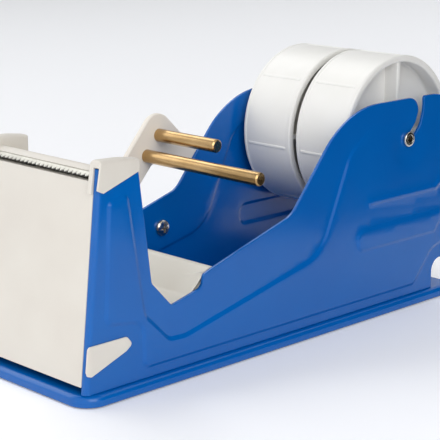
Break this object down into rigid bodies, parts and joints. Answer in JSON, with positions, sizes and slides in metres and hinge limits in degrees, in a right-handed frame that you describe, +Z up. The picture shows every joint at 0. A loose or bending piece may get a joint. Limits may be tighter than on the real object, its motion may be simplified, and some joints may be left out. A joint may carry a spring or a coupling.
{
  "type": "bench packing tape dispenser",
  "caption": "Bench tape dispenser: blue pressed steel body, white moulded head with toothed blade, brass guide rods, white core hubs on a lift-out axle.",
  "frame": {"origin": "centre of the bottom of the bounding box, on the table", "axes": "+Z up, -Y towards the blade, +Y towards the rolls, +X the side without the arm"},
  "size_m": [0.0822, 0.234, 0.1182],
  "materials": {
    "enamelled_steel": "gloss",
    "head_plastic": "satin",
    "hub_plastic": "satin",
    "polished_brass": "polished",
    "zinc_steel": "polished",
    "blade_steel": "ground",
    "ballast_steel": "mill scale",
    "foot_rubber": "matt"
  },
  "bodies": {
    "frame": {"base_pan": "enamelled_steel", "ballast_plate": "ballast_steel", "rubber_feet": "foot_rubber", "foot_rivets": "zinc_steel", "side_panel_right": "enamelled_steel", "side_panel_left": "enamelled_steel", "front_cover": "head_plastic", "blade": "blade_steel", "blade_retainers": "zinc_steel", "rear_scoop": "head_plastic", "arm_plate": "head_plastic", "arm_screws": "zinc_steel", "arm_nuts": "zinc_steel", "short_rod": "polished_brass", "long_rod": "polished_brass", "rod_screws": "zinc_steel"},
    "axle_set": {"axle": "zinc_steel", "axle_ring_right": "zinc_steel", "axle_ring_left": "zinc_steel", "spacer_right": "hub_plastic", "spacer_left": "hub_plastic", "centre_collar": "hub_plastic"},
    "hub_near_body": {"hub_near": "hub_plastic"},
    "hub_far_body": {"hub_far": "hub_plastic"}
  },
  "joints": [
    {"name": "axle_unhook", "type": "hinge", "parent": "frame", "child": "axle_set", "pos_m": [0.0011, 0.0713, 0.0955], "axis": [1, 0, 0], "range_deg": [0, 105]},
    {"name": "hub_near_spin", "type": "hinge", "parent": "axle_set", "child": "hub_near_body", "pos_m": [0.0011, 0.0787, 0.08019], "axis": [1, 0, 0], "continuous": true},
    {"name": "hub_far_spin", "type": "hinge", "parent": "axle_set", "child": "hub_far_body", "pos_m": [0.0011, 0.0787, 0.08019], "axis": [1, 0, 0], "continuous": true}
  ]
}
